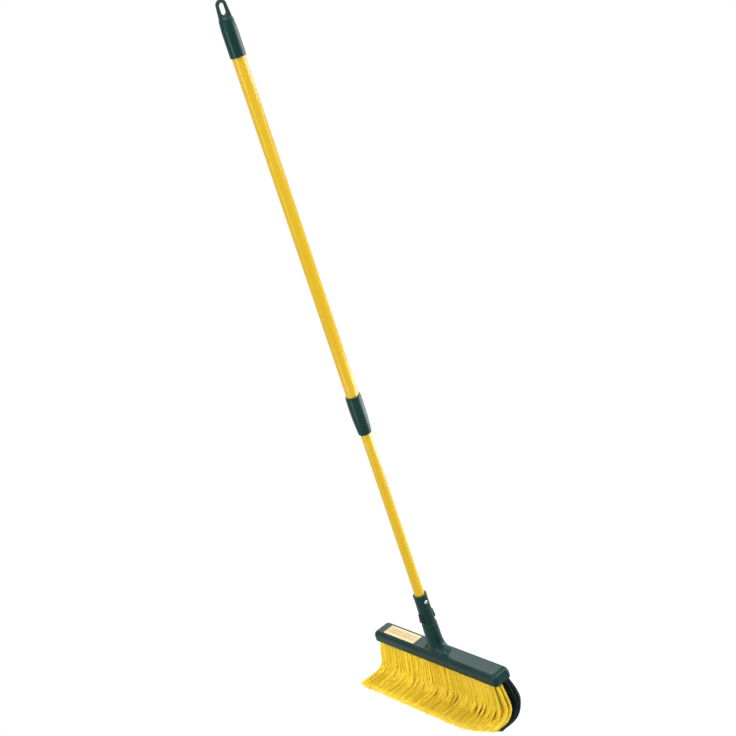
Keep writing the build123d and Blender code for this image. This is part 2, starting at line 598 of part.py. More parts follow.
with BuildPart() as carrier_screws:
    with Locations(*[(x, 0, CARRIER_BOTTOM_Z) for x in CARRIER_SCREW_X]):
        Cylinder(SCREW_HEAD_OD / 2, SCREW_HEAD_HEIGHT, align=(Align.CENTER, Align.CENTER, Align.MAX))
        Cylinder(
            SCREW_OD / 2,
            CARRIER_THICKNESS + SCREW_IN_BOSS,
            align=(Align.CENTER, Align.CENTER, Align.MIN),
        )
carrier_screws.part.label = "carrier_screws"
export_step(carrier_screws.part, "parts/carrier_screws.step")

with BuildPart() as label_plate:
    with BuildSketch(Plane.XY.offset(BLOCK_TOP_Z)):
        with Locations((LABEL_CENTRE_X, 0)):
            RectangleRounded(LABEL_LENGTH, LABEL_WIDTH, LABEL_CORNER)
    extrude(amount=LABEL_THICKNESS)
label_plate.part.label = "label_plate"
export_step(label_plate.part, "parts/label_plate.step")

ROWS = 2 * ROWS_PER_COLOUR
SCREW_LANE = SCREW_HEAD_OD + 2 * SCREW_LANE_GAP
STRIP_PITCH = (CAVITY_DEPTH - SCREW_LANE) / ROWS
STRIP_WIDTH = STRIP_PITCH - STRIP_SIDE_GAP


# Middle of one row's strip, counted from the front
def row_root_y(row):
    side = -1 if row < ROWS_PER_COLOUR else 1
    return side * SCREW_LANE / 2 + (row + 0.5 - ROWS_PER_COLOUR) * STRIP_PITCH


# Half the length of one row's strip, inside the rounded corners of the cover
def strip_half_length(row):
    edge = abs(row_root_y(row)) + STRIP_WIDTH / 2
    into_corner = max(0.0, edge - (CAVITY_DEPTH / 2 - CAVITY_CORNER))
    corner_run = math.sqrt(CAVITY_CORNER**2 - into_corner**2)
    return CAVITY_LENGTH / 2 - CAVITY_CORNER + corner_run - STRIP_SIDE_GAP


# One curled strand: straight down from its root, round the bend and forward to its tip.
# The place runs from -1 at the left end of the row to 1 at the right, where the tips are trimmed back.
def strand(row, x, place):
    share = row / (ROWS - 1)
    trim = max(0.0, (place - TRIM_FROM) / (1 - TRIM_FROM))
    root_y = row_root_y(row)
    corner_y = root_y - FRONT_SWEEP + share * (REAR_SWEEP + FRONT_SWEEP)
    drop = FRONT_DROP + share * (REAR_DROP - FRONT_DROP) + STRAND_EMBED
    bend = FRONT_BEND + share * (REAR_BEND - FRONT_BEND)
    tip_y = corner_y - FRONT_REACH - share * (REAR_REACH - FRONT_REACH) + RIGHT_TIP_TRIM * trim**2
    lean = math.atan2(corner_y - root_y, drop)
    half = STRAND_THICKNESS / 2
    side_step = half / math.cos(lean)
    knee_step = half * math.tan((math.pi / 2 - lean) / 2)
    tilt = math.radians(place * FAN_ANGLE)
    root = Plane(
        (x, 0, BLOCK_BOTTOM_Z + STRAND_EMBED),
        x_dir=(0, 1, 0),
        z_dir=(math.cos(tilt), 0, math.sin(tilt)),
    )
    with BuildSketch(root) as band:
        with BuildLine():
            outer = FilletPolyline(
                (root_y + side_step, 0),
                (corner_y + knee_step, -drop - half),
                (tip_y, -drop - half),
                radius=bend + half,
            )
            inner = FilletPolyline(
                (tip_y, -drop + half),
                (corner_y - knee_step, -drop + half),
                (root_y - side_step, 0),
                radius=bend - half,
            )
            Line(outer @ 1, inner @ 0)
            Line(inner @ 1, outer @ 0)
        make_face()
    return extrude(band.sketch, amount=STRAND_WIDTH / 2, both=True, mode=Mode.PRIVATE)


# One row of strands, joined to its slice of backing in one go
def bristle_row(row):
    half_length = strip_half_length(row)
    root_y = row_root_y(row)
    block(
        (-half_length, root_y - STRIP_WIDTH / 2, BLOCK_BOTTOM_Z),
        (half_length, root_y + STRIP_WIDTH / 2, CARRIER_BOTTOM_Z),
    )
    run = half_length - STRAND_END_MARGIN
    places = [2 * i / (STRANDS_PER_ROW - 1) - 1 for i in range(STRANDS_PER_ROW)]
    add([strand(row, place * run, place) for place in places])


with BuildPart() as yellow_tufts_row_1:
    bristle_row(0)
yellow_tufts_row_1.part.label = "yellow_tufts_row_1"
export_step(yellow_tufts_row_1.part, "parts/yellow_tufts_row_1.step")

with BuildPart() as yellow_tufts_row_2:
    bristle_row(1)
yellow_tufts_row_2.part.label = "yellow_tufts_row_2"
export_step(yellow_tufts_row_2.part, "parts/yellow_tufts_row_2.step")

with BuildPart() as yellow_tufts_row_3:
    bristle_row(2)
yellow_tufts_row_3.part.label = "yellow_tufts_row_3"
export_step(yellow_tufts_row_3.part, "parts/yellow_tufts_row_3.step")

with BuildPart() as green_tufts_row_1:
    bristle_row(3)
green_tufts_row_1.part.label = "green_tufts_row_1"
export_step(green_tufts_row_1.part, "parts/green_tufts_row_1.step")

with BuildPart() as green_tufts_row_2:
    bristle_row(4)
green_tufts_row_2.part.label = "green_tufts_row_2"
export_step(green_tufts_row_2.part, "parts/green_tufts_row_2.step")

with BuildPart() as green_tufts_row_3:
    bristle_row(5)
green_tufts_row_3.part.label = "green_tufts_row_3"
export_step(green_tufts_row_3.part, "parts/green_tufts_row_3.step")
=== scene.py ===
# %% [markdown]
# Outdoor broom. The CAD model gives every piece its place and its size, and this lesson gives the pieces
# their finish. The plain strands of the CAD bristle rows are swapped for dense, crimped bristles, because
# a broom is judged by its bristles first. The frame comes in before anything else, so that every later
# piece can be measured from it.

# %% Load the frame
import json
import math
import random

import bmesh
import bpy
from mathutils import Matrix, Vector
from mathutils.geometry import interpolate_bezier


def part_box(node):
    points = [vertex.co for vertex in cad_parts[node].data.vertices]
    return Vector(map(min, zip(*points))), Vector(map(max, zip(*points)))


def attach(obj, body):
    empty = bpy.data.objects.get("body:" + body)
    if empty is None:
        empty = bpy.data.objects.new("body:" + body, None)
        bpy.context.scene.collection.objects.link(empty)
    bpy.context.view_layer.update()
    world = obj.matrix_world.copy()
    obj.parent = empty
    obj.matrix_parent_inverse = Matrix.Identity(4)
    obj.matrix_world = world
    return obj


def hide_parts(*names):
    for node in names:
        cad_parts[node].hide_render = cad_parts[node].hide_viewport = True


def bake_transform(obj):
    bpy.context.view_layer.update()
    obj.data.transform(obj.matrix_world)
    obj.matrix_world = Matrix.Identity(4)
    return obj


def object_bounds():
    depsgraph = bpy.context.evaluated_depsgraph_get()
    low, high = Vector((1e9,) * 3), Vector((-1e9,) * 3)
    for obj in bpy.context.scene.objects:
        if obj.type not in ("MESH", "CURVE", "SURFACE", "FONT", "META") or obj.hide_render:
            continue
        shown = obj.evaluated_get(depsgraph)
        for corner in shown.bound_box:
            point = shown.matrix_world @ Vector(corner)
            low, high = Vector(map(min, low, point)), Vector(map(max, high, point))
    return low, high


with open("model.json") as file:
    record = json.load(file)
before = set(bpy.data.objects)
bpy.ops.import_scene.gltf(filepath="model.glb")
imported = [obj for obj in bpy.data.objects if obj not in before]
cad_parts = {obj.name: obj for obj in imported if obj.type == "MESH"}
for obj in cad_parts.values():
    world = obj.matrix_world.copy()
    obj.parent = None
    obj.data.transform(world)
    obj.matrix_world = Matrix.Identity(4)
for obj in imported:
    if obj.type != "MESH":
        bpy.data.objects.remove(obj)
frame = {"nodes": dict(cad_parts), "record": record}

CAD_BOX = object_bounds()
print("CAD box", [round(v, 4) for corner in CAD_BOX for v in corner])

# %% [markdown]
# The photograph looks down on the broom from its front right, and the broom leans to the left in the
# picture. The part stands upright in its own frame, so the lean becomes a roll of the camera. A long lens
# keeps the handle straight and slim.

# %% Camera
CAMERA_PLACE = Vector((2.3453, -1.5333, 0.3983))
CAMERA_AIM = Vector((0.0200, 0.0408, -0.7313))
CAMERA_ROLL = math.radians(-18.280)
CAMERA_LENS = 76.85

camera_data = bpy.data.cameras.new("photo_camera")
camera_data.lens = CAMERA_LENS
camera = bpy.data.objects.new("photo_camera", camera_data)
camera.location = CAMERA_PLACE
look = (CAMERA_AIM - CAMERA_PLACE).to_track_quat("-Z", "Y").to_matrix().to_4x4()
camera.rotation_euler = (look @ Matrix.Rotation(CAMERA_ROLL, 4, "Z")).to_euler()
bpy.context.scene.collection.objects.link(camera)
bpy.context.scene.camera = camera
bpy.context.scene.view_settings.view_transform = "Standard"
print("camera stands", round((CAMERA_AIM - CAMERA_PLACE).length, 2), "m away")

# %% [markdown]
# Node trees are built from many small calls, so four helpers keep the later cells short: one adds a node
# and fills its sockets, one mixes two colours, one stretches a value from one range to another, and one
# multiplies two values. The Mix node has several sockets of one name, so its colours go by number.

# %% Node helpers
MIX_SHARE, MIX_FIRST, MIX_SECOND, MIX_RESULT = 0, 6, 7, 2


def add_node(tree, kind, sockets=None, **settings):
    made = tree.nodes.new(kind)
    for name, value in settings.items():
        setattr(made, name, value)
    for name, value in (sockets or {}).items():
        if isinstance(value, bpy.types.NodeSocket):
            tree.links.new(value, made.inputs[name])
        else:
            made.inputs[name].default_value = value
    return made


def mix_colours(tree, share, first, second):
    mix = add_node(tree, "ShaderNodeMix", {MIX_SHARE: share}, data_type="RGBA")
    for place, colour in ((MIX_FIRST, first), (MIX_SECOND, second)):
        if isinstance(colour, bpy.types.NodeSocket):
            tree.links.new(colour, mix.inputs[place])
        else:
            mix.inputs[place].default_value = (*colour, 1.0)
    return mix.outputs[MIX_RESULT]


def stretch(tree, value, low, high, new_low=0.0, new_high=1.0):
    span = {"Value": value, "From Min": low, "From Max": high, "To Min": new_low, "To Max": new_high}
    return add_node(tree, "ShaderNodeMapRange", span).outputs["Result"]


def scaled(tree, value, factor):
    times = add_node(tree, "ShaderNodeMath", {0: value, 1: factor}, operation="MULTIPLY")
    return times.outputs[0]


print("node helpers ready")

# %% [markdown]
# A catalogue picture has a white ground, but that much light from all round would wash the broom out. So
# the floor and the background show one face to the rays that are seen, straight or in a reflection, and
# another to the rays that carry light. The Light Path node tells them apart.

# %% Rays that are seen
WHITE = (1.0, 1.0, 1.0)


def seen_directly(tree):
    path = add_node(tree, "ShaderNodeLightPath")
    camera_or_gloss = add_node(
        tree,
        "ShaderNodeMath",
        {0: path.outputs["Is Camera Ray"], 1: path.outputs["Is Glossy Ray"]},
        operation="ADD",
    )
    with_glass = add_node(
        tree,
        "ShaderNodeMath",
        {0: camera_or_gloss.outputs[0], 1: path.outputs["Is Transmission Ray"]},
        operation="ADD",
        use_clamp=True,
    )
    return with_glass.outputs[0]


print("rays that are seen: camera, glossy and transmission")

# %% [markdown]
# The floor is pale and takes a faint shadow. To the rays that are seen it also gives some light of its
# own, so that it reads as white without pouring more light on the broom. Far out it turns to plain white,
# and its rim melts into the background. The broom hangs by its slot, and its handle draws out a quarter of
# a metre downward, so the floor lies a little lower than the head can reach.

# %% Floor
LOWEST_LEVEL = CAD_BOX[0].z
FLOOR_DROP = 0.27
FLOOR_LEVEL = LOWEST_LEVEL - FLOOR_DROP
FLOOR_RADIUS = 9.0
FLOOR_SIDES = 96
FLOOR_COLOUR = (0.82, 0.82, 0.81)
FLOOR_TINT = (0.21, 0.21, 0.21)
FLOOR_GLOW = 0.86
FLOOR_FADE = (0.30, 0.85)
LEVEL_ONLY = (1, 1, 0)


def floor_material():
    made = bpy.data.materials.new("studio_floor")
    made.use_nodes = True
    tree = made.node_tree
    tree.nodes.clear()
    lit = add_node(tree, "ShaderNodeBsdfDiffuse", {"Color": (*FLOOR_COLOUR, 1)})
    shadowed = add_node(tree, "ShaderNodeBsdfDiffuse", {"Color": (*FLOOR_TINT, 1)})
    glow = add_node(tree, "ShaderNodeEmission", {"Color": (*WHITE, 1), "Strength": FLOOR_GLOW})
    near = add_node(tree, "ShaderNodeAddShader", {0: shadowed.outputs[0], 1: glow.outputs[0]})
    far = add_node(tree, "ShaderNodeEmission", {"Color": (*WHITE, 1), "Strength": 1.0})
    place = add_node(tree, "ShaderNodeTexCoord").outputs["Object"]
    flat = add_node(tree, "ShaderNodeVectorMath", {0: place, 1: LEVEL_ONLY}, operation="MULTIPLY")
    distance = add_node(tree, "ShaderNodeVectorMath", {0: flat.outputs["Vector"]}, operation="LENGTH")
    fade = stretch(tree, distance.outputs["Value"], *FLOOR_FADE)
    ground = add_node(tree, "ShaderNodeMixShader", {0: fade, 1: near.outputs[0], 2: far.outputs[0]})
    seen = seen_directly(tree)
    split = add_node(tree, "ShaderNodeMixShader", {0: seen, 1: lit.outputs[0], 2: ground.outputs[0]})
    add_node(tree, "ShaderNodeOutputMaterial", {"Surface": split.outputs[0]})
    return made


floor_shape = bmesh.new()
bmesh.ops.create_circle(floor_shape, cap_ends=True, segments=FLOOR_SIDES, radius=FLOOR_RADIUS)
bmesh.ops.translate(floor_shape, verts=floor_shape.verts, vec=(0, 0, FLOOR_LEVEL))
floor_mesh = bpy.data.meshes.new("studio_floor")
floor_shape.to_mesh(floor_mesh)
floor_shape.free()
floor = bpy.data.objects.new("studio_floor", floor_mesh)
floor.data.materials.append(floor_material())
bpy.context.scene.collection.objects.link(floor)
print("floor at", round(FLOOR_LEVEL, 4), "m")

# %% [markdown]
# The background is white where it is seen. As a source of light it is a much dimmer, slightly cool grey,
# which fills the shadows as the walls of a pale room do.

# %% Background
AMBIENT = (0.36, 0.37, 0.39)

world = bpy.data.worlds.new("studio")
bpy.context.scene.world = world
world.use_nodes = True
sky = world.node_tree
sky.nodes.clear()
sky_colour = mix_colours(sky, seen_directly(sky), AMBIENT, WHITE)
back = add_node(sky, "ShaderNodeBackground", {"Color": sky_colour})
add_node(sky, "ShaderNodeOutputWorld", {"Surface": back.outputs[0]})
print("background in world", world.name)

# %% [markdown]
# The studio has nine soft boxes. A wide one in front and one above light everything. Four small ones stand
# close on the picture's left and right, because an upright round piece seen from above mirrors what is low
# and near: the high pair draws the pale bands on the cap, and the low pair those on the collar and the
# neck. A narrow strip on the left draws a line of light on the upper tube. One box stands far behind the
# broom, where the flat top of the block mirrors it, and a small one on the right catches the block's
# rounded end.

# %% Lamps
CAP_AIM = Vector((0.0, 0.0, -0.10))
TUBE_AIM = Vector((0.0, 0.0, -0.45))
HANDLE_AIM = Vector((0.0, 0.0, -0.85))
HEAD_AIM = Vector((0.0, 0.0, -1.40))
LAMPS = {
    "front_box": {"place": (1.2, -1.9, 0.7), "aim": HANDLE_AIM, "size": (1.6, 1.6), "power": 25.0},
    "top_box": {"place": (0.5, -0.2, 1.5), "aim": HANDLE_AIM, "size": (1.4, 1.4), "power": 40.0},
    "right_high": {"place": (0.51, 1.09, -0.25), "aim": CAP_AIM, "size": (1.2, 0.3), "power": 13.0},
    "right_low": {"place": (0.43, 0.91, -1.27), "aim": HEAD_AIM, "size": (1.05, 0.3), "power": 12.0},
    "left_high": {"place": (0.10, -1.40, -0.25), "aim": CAP_AIM, "size": (0.7, 0.3), "power": 6.0},
    "left_low": {"place": (0.08, -1.10, -1.27), "aim": HEAD_AIM, "size": (0.55, 0.3), "power": 3.4},
    "left_strip": {"place": (0.10, -1.40, -0.65), "aim": TUBE_AIM, "size": (0.12, 0.54), "power": 2.8},
    "back_box": {"place": (-1.55, 1.13, -0.06), "aim": HEAD_AIM, "size": (0.9, 0.7), "power": 6.0},
    "end_box": {"place": (0.72, 0.58, -0.45), "aim": HEAD_AIM, "size": (0.35, 0.25), "power": 3.0},
}

for name, lamp in LAMPS.items():
    light = bpy.data.lights.new(name, "AREA")
    light.shape = "RECTANGLE"
    light.size, light.size_y = lamp["size"]
    light.energy = lamp["power"]
    holder = bpy.data.objects.new(name, light)
    holder.location = lamp["place"]
    holder.rotation_euler = (lamp["aim"] - holder.location).to_track_quat("-Z", "Y").to_euler()
    bpy.context.scene.collection.objects.link(holder)
print(len(LAMPS), "lamps")

# %% [markdown]
# Moulded plastic, paint and nylon all have a fine grain, and all have broad patches where the shade drifts
# a little. That is one effect, so it is one node group with its own values in each material.

# %% Grain and drift group
DRIFT_SPAN = (0.3, 0.7)


def start_group(name, inputs, outputs):
    tree = bpy.data.node_groups.new(name, "ShaderNodeTree")
    for label, kind, value in inputs:
        socket = tree.interface.new_socket(label, in_out="INPUT", socket_type=kind)
        if value is not None:
            socket.default_value = value
    for label in outputs:
        tree.interface.new_socket(label, in_out="OUTPUT", socket_type="NodeSocketFloat")
    return tree, tree.nodes.new("NodeGroupInput").outputs, tree.nodes.new("NodeGroupOutput").inputs


grain_group, given, result = start_group(
    "grain_and_drift",
    [
        ("Vector", "NodeSocketVector", None),
        ("Grain per metre", "NodeSocketFloat", 2000.0),
        ("Drift per metre", "NodeSocketFloat", 12.0),
    ],
    ["Grain", "Drift"],
)
grain = add_node(
    grain_group,
    "ShaderNodeTexNoise",
    {"Vector": given["Vector"], "Scale": given["Grain per metre"], "Detail": 2.0, "Roughness": 0.6},
)
drift = add_node(
    grain_group,
    "ShaderNodeTexNoise",
    {"Vector": given["Vector"], "Scale": given["Drift per metre"], "Detail": 4.0, "Roughness": 0.55},
)
grain_group.links.new(grain.outputs["Fac"], result["Grain"])
grain_group.links.new(stretch(grain_group, drift.outputs["Fac"], *DRIFT_SPAN), result["Drift"])
print("group", grain_group.name)

# %% [markdown]
# A tool that is carried about has fine scratches. A noise that is stretched a lot along one direction and
# cut off near its peaks leaves thin streaks, which is what a scratch looks like from a step away.

# %% Rub marks group
RUB_SOFTNESS = 0.12

rub_group, given, result = start_group(
    "rub_marks",
    [
        ("Vector", "NodeSocketVector", None),
        ("Marks per metre", "NodeSocketFloat", 160.0),
        ("Cut", "NodeSocketFloat", 0.66),
    ],
    ["Mask"],
)
streaks = add_node(
    rub_group,
    "ShaderNodeTexNoise",
    {"Vector": given["Vector"], "Scale": given["Marks per metre"], "Detail": 3.0, "Roughness": 0.7},
)
cut_top = add_node(rub_group, "ShaderNodeMath", {0: given["Cut"], 1: RUB_SOFTNESS}, operation="ADD")
rub_mask = stretch(rub_group, streaks.outputs["Fac"], given["Cut"], cut_top.outputs[0])
rub_group.links.new(rub_mask, result["Mask"])
print("group", rub_group.name)

# %% [markdown]
# Moulded edges polish and scuff first. On the dark plastic this edge mask also carries a painted highlight
# along the edges. The Bevel node reports how a normal would turn if the edge were rounded, and where that
# differs from the true normal there is an edge. A noise breaks the line up.

# %% Edge wear and highlight group
EDGE_SAMPLES = 4
EDGE_LIKENESS = (0.995, 0.90)
EDGE_PATCHES = 220.0
EDGE_BREAKS = (0.35, 0.7)

edge_wear_and_highlight_group, given, result = start_group(
    "edge_wear_and_highlight",
    [("Vector", "NodeSocketVector", None), ("Width", "NodeSocketFloat", 0.0012)],
    ["Mask"],
)
rounded = add_node(edge_wear_and_highlight_group, "ShaderNodeBevel", {"Radius": given["Width"]}, samples=EDGE_SAMPLES)
surface = add_node(edge_wear_and_highlight_group, "ShaderNodeNewGeometry")
likeness = add_node(
    edge_wear_and_highlight_group,
    "ShaderNodeVectorMath",
    {0: rounded.outputs["Normal"], 1: surface.outputs["Normal"]},
    operation="DOT_PRODUCT",
)
edge = stretch(edge_wear_and_highlight_group, likeness.outputs["Value"], *EDGE_LIKENESS)
patch = add_node(
    edge_wear_and_highlight_group,
    "ShaderNodeTexNoise",
    {"Vector": given["Vector"], "Scale": EDGE_PATCHES, "Detail": 3.0, "Roughness": 0.6},
)
broken_edge = scaled(edge_wear_and_highlight_group, edge, stretch(edge_wear_and_highlight_group, patch.outputs["Fac"], *EDGE_BREAKS))
edge_wear_and_highlight_group.links.new(broken_edge, result["Mask"])
print("group", edge_wear_and_highlight_group.name)

# %% [markdown]
# Every finish starts the same way: a Principled shader, the piece's own coordinates, and a bump that takes
# its height from the grain. The constants go straight onto the shader. The record names a material slot for
# every piece, and the finishes are kept under those names.

# %% Start of a finish
finishes = {}


def start_finish(name, **constants):
    made = bpy.data.materials.new(name)
    made.use_nodes = True
    tree = made.node_tree
    shader = tree.nodes["Principled BSDF"]
    for label, value in constants.items():
        shader.inputs[label.replace("_", " ")].default_value = value
    place = add_node(tree, "ShaderNodeTexCoord").outputs["Object"]
    return made, tree, shader, place


def use_group(tree, group, sockets):
    return add_node(tree, "ShaderNodeGroup", sockets, node_tree=group).outputs


def grain_and_drift(tree, place, grain, drift):
    sockets = {"Vector": place, "Grain per metre": grain, "Drift per metre": drift}
    return use_group(tree, grain_group, sockets)


def stretched_place(tree, place, scale):
    return add_node(tree, "ShaderNodeMapping", {"Vector": place, "Scale": scale}).outputs["Vector"]


def vary_roughness(tree, shader, mask, low, high):
    tree.links.new(stretch(tree, mask, 0.0, 1.0, low, high), shader.inputs["Roughness"])


def bump(tree, shader, height, strength, distance):
    made = add_node(tree, "ShaderNodeBump", {"Height": height, "Strength": strength, "Distance": distance})
    tree.links.new(made.outputs["Normal"], shader.inputs["Normal"])


print("finish helpers ready")

# %% [markdown]
# The tubes are painted a warm yellow. The paint is glossy with a slight orange peel, its shade drifts along
# the length, and it has a few fine lengthwise scratches where the tubes slide and are carried.

# %% Yellow enamel
ENAMEL = (0.555, 0.352, 0.009)
ENAMEL_DEEP = (0.508, 0.310, 0.006)
ENAMEL_SCRATCH = (0.740, 0.540, 0.145)
ENAMEL_DRIFT_SHARE = 0.35
ENAMEL_SCRATCH_SHARE = 0.22
ENAMEL_ROUGHNESS = (0.20, 0.38)
ENAMEL_PEEL = {"strength": 0.012, "distance": 0.0003}
ALONG_TUBE = (1.0, 1.0, 0.02)


def yellow_enamel():
    made, tree, shader, place = start_finish("yellow_enamel", Specular_IOR_Level=0.25)
    skin = grain_and_drift(tree, place, grain=700.0, drift=9.0)
    along = stretched_place(tree, place, ALONG_TUBE)
    marks = use_group(tree, rub_group, {"Vector": along, "Marks per metre": 900.0, "Cut": 0.68})
    shade = mix_colours(tree, scaled(tree, skin["Drift"], ENAMEL_DRIFT_SHARE), ENAMEL, ENAMEL_DEEP)
    scratched = scaled(tree, marks["Mask"], ENAMEL_SCRATCH_SHARE)
    tree.links.new(mix_colours(tree, scratched, shade, ENAMEL_SCRATCH), shader.inputs["Base Color"])
    vary_roughness(tree, shader, marks["Mask"], *ENAMEL_ROUGHNESS)
    bump(tree, shader, skin["Grain"], **ENAMEL_PEEL)
    return made


finishes["yellow_paint"] = yellow_enamel()
print("finish", finishes["yellow_paint"].name)

# %% [markdown]
# The cap, the collar, the connector and the block are moulded in one very dark green plastic. It is satin,
# with a fine spark-eroded grain, paler edges that are partly wear from rubbing and partly a painted
# highlight, and a trace of dust on what faces up. Its sheen is tinted, because a plain one mirrors the
# yellow bristles as a brown veil.

# %% Dark green plastic
PLASTIC = (0.0050, 0.0225, 0.0185)
PLASTIC_DRIFT = (0.0068, 0.0275, 0.0240)
# Paler edge colour: partly wear from rubbing, partly a painted highlight along the edges.
PLASTIC_EDGE_WEAR_AND_HIGHLIGHT = (0.0700, 0.1250, 0.1120)
PLASTIC_DUST = (0.2000, 0.2200, 0.2000)
PLASTIC_SHEEN = (0.62, 0.96, 1.0, 1.0)
PLASTIC_EDGE_WEAR_AND_HIGHLIGHT_SHARE = 0.55
PLASTIC_DUST_SHARE = 0.06
PLASTIC_FACING_UP = (0.6, 1.0)
PLASTIC_ROUGHNESS = (0.26, 0.42)
PLASTIC_GRAIN = {"strength": 0.05, "distance": 0.0003}
ALONG_BLOCK = (0.25, 1.0, 0.4)


def dark_green_plastic():
    made, tree, shader, place = start_finish(
        "dark_green_plastic",
        Specular_IOR_Level=0.14,
        Specular_Tint=PLASTIC_SHEEN,
    )
    skin = grain_and_drift(tree, place, grain=1900.0, drift=22.0)
    worn = use_group(tree, edge_wear_and_highlight_group, {"Vector": place, "Width": 0.0016})
    marks = use_group(tree, rub_group, {"Vector": stretched_place(tree, place, ALONG_BLOCK), "Cut": 0.70})
    surface = add_node(tree, "ShaderNodeNewGeometry")
    facing = add_node(tree, "ShaderNodeSeparateXYZ", {"Vector": surface.outputs["Normal"]})
    lying = scaled(tree, stretch(tree, facing.outputs["Z"], *PLASTIC_FACING_UP), skin["Drift"])
    shade = mix_colours(tree, skin["Drift"], PLASTIC, PLASTIC_DRIFT)
    # The edges are lightened: partly wear from rubbing, partly a painted highlight.
    rubbed_and_highlit = mix_colours(tree, scaled(tree, worn["Mask"], PLASTIC_EDGE_WEAR_AND_HIGHLIGHT_SHARE), shade, PLASTIC_EDGE_WEAR_AND_HIGHLIGHT)
    dusty = mix_colours(tree, scaled(tree, lying, PLASTIC_DUST_SHARE), rubbed_and_highlit, PLASTIC_DUST)
    tree.links.new(dusty, shader.inputs["Base Color"])
    vary_roughness(tree, shader, marks["Mask"], *PLASTIC_ROUGHNESS)
    bump(tree, shader, skin["Grain"], **PLASTIC_GRAIN)
    return made


finishes["dark_plastic"] = dark_green_plastic()
print("finish", finishes["dark_plastic"].name)

# %% [markdown]
# The two release buttons are a softer, blacker plastic with a coarser grain, so that a thumb finds them.

# %% Black button plastic
BUTTON_BLACK = (0.0075, 0.0085, 0.0095)
BUTTON_WORN = (0.0300, 0.0320, 0.0340)
BUTTON_ROUGHNESS = (0.46, 0.60)
BUTTON_GRAIN = {"strength": 0.25, "distance": 0.0004}


def black_button_plastic():
    made, tree, shader, place = start_finish("black_button_plastic", Specular_IOR_Level=0.13)
    skin = grain_and_drift(tree, place, grain=1400.0, drift=60.0)
    worn = use_group(tree, edge_wear_and_highlight_group, {"Vector": place, "Width": 0.0009})
    tree.links.new(mix_colours(tree, worn["Mask"], BUTTON_BLACK, BUTTON_WORN), shader.inputs["Base Color"])
    vary_roughness(tree, shader, skin["Drift"], *BUTTON_ROUGHNESS)
    bump(tree, shader, skin["Grain"], **BUTTON_GRAIN)
    return made


finishes["black_plastic"] = black_button_plastic()
print("finish", finishes["black_plastic"].name)

# %% [markdown]
# The bush, the collet and the ring inside the handle are natural nylon: off-white, a little waxy, with
# flow lines from the mould.

# %% Pale nylon
NYLON = (0.700, 0.675, 0.600)
NYLON_WARM = (0.620, 0.570, 0.470)
NYLON_ROUGHNESS = (0.40, 0.55)
NYLON_GRAIN = {"strength": 0.08, "distance": 0.0003}
ALONG_FLOW = (1.0, 1.0, 0.15)


def pale_nylon():
    made, tree, shader, place = start_finish("pale_nylon", Coat_Weight=0.1)
    skin = grain_and_drift(tree, place, grain=900.0, drift=70.0)
    flow = use_group(tree, rub_group, {"Vector": stretched_place(tree, place, ALONG_FLOW), "Cut": 0.55})
    tone = scaled(tree, flow["Mask"], skin["Drift"])
    tree.links.new(mix_colours(tree, tone, NYLON, NYLON_WARM), shader.inputs["Base Color"])
    vary_roughness(tree, shader, skin["Drift"], *NYLON_ROUGHNESS)
    bump(tree, shader, skin["Grain"], **NYLON_GRAIN)
    return made


finishes["pale_nylon"] = pale_nylon()
print("finish", finishes["pale_nylon"].name)

# %% [markdown]
# The rivet, the screws and the leaf spring are bright steel. Brushing is a grain pulled out along one
# direction, and it shows in the roughness more than in the colour.

# %% Bright steel
STEEL = (0.470, 0.480, 0.490)
STEEL_DULL = (0.300, 0.305, 0.310)
STEEL_DULL_SHARE = 0.5
STEEL_ROUGHNESS = (0.24, 0.40)
STEEL_BRUSHING = {"strength": 0.05, "distance": 0.0002}
ALONG_BRUSH = (1.0, 0.06, 1.0)


def bright_steel():
    made, tree, shader, place = start_finish("bright_steel", Metallic=1.0)
    skin = grain_and_drift(tree, place, grain=1200.0, drift=180.0)
    along = stretched_place(tree, place, ALONG_BRUSH)
    brushed = use_group(tree, rub_group, {"Vector": along, "Marks per metre": 2200.0, "Cut": 0.48})
    tone = scaled(tree, skin["Drift"], STEEL_DULL_SHARE)
    tree.links.new(mix_colours(tree, tone, STEEL, STEEL_DULL), shader.inputs["Base Color"])
    vary_roughness(tree, shader, brushed["Mask"], *STEEL_ROUGHNESS)
    bump(tree, shader, brushed["Mask"], **STEEL_BRUSHING)
    return made


finishes["steel"] = bright_steel()
print("finish", finishes["steel"].name)

# %% [markdown]
# The plate on the left of the block is a plain pale sticker, with two faded stripes along its middle, a
# paler rim, and a slight crinkle of the film. A Mapping node centres the pattern on the plate and counts
# from its middle to its edges as 0 to 1, so that the stripes keep their share of it.

# %% Label film
FILM = (0.540, 0.420, 0.170)
FILM_RIM = (0.650, 0.560, 0.310)
FILM_STRIPE = (0.390, 0.250, 0.070)
FILM_ROUGHNESS = (0.32, 0.48)
FILM_CRINKLE = {"strength": 0.10, "distance": 0.0004}
STRIPES_ACROSS = (0.46, 0.38)
STRIPES_ALONG = (0.86, 0.82)
STRIPES_PARTED = (0.06, 0.14)
STRIPES_FADED = (0.60, 0.90)
RIM_ACROSS = (0.78, 0.84)
label_low, label_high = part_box("label_plate")
LABEL_MIDDLE = (label_low + label_high) / 2
LABEL_HALF = (label_high - label_low) / 2


def from_middle(tree, place):
    centred = add_node(
        tree,
        "ShaderNodeMapping",
        {"Vector": place, "Location": LABEL_MIDDLE, "Scale": LABEL_HALF},
        vector_type="TEXTURE",
    )
    parts = add_node(tree, "ShaderNodeSeparateXYZ", {"Vector": centred.outputs["Vector"]})
    along = add_node(tree, "ShaderNodeMath", {0: parts.outputs["X"]}, operation="ABSOLUTE")
    across = add_node(tree, "ShaderNodeMath", {0: parts.outputs["Y"]}, operation="ABSOLUTE")
    return along.outputs[0], across.outputs[0]


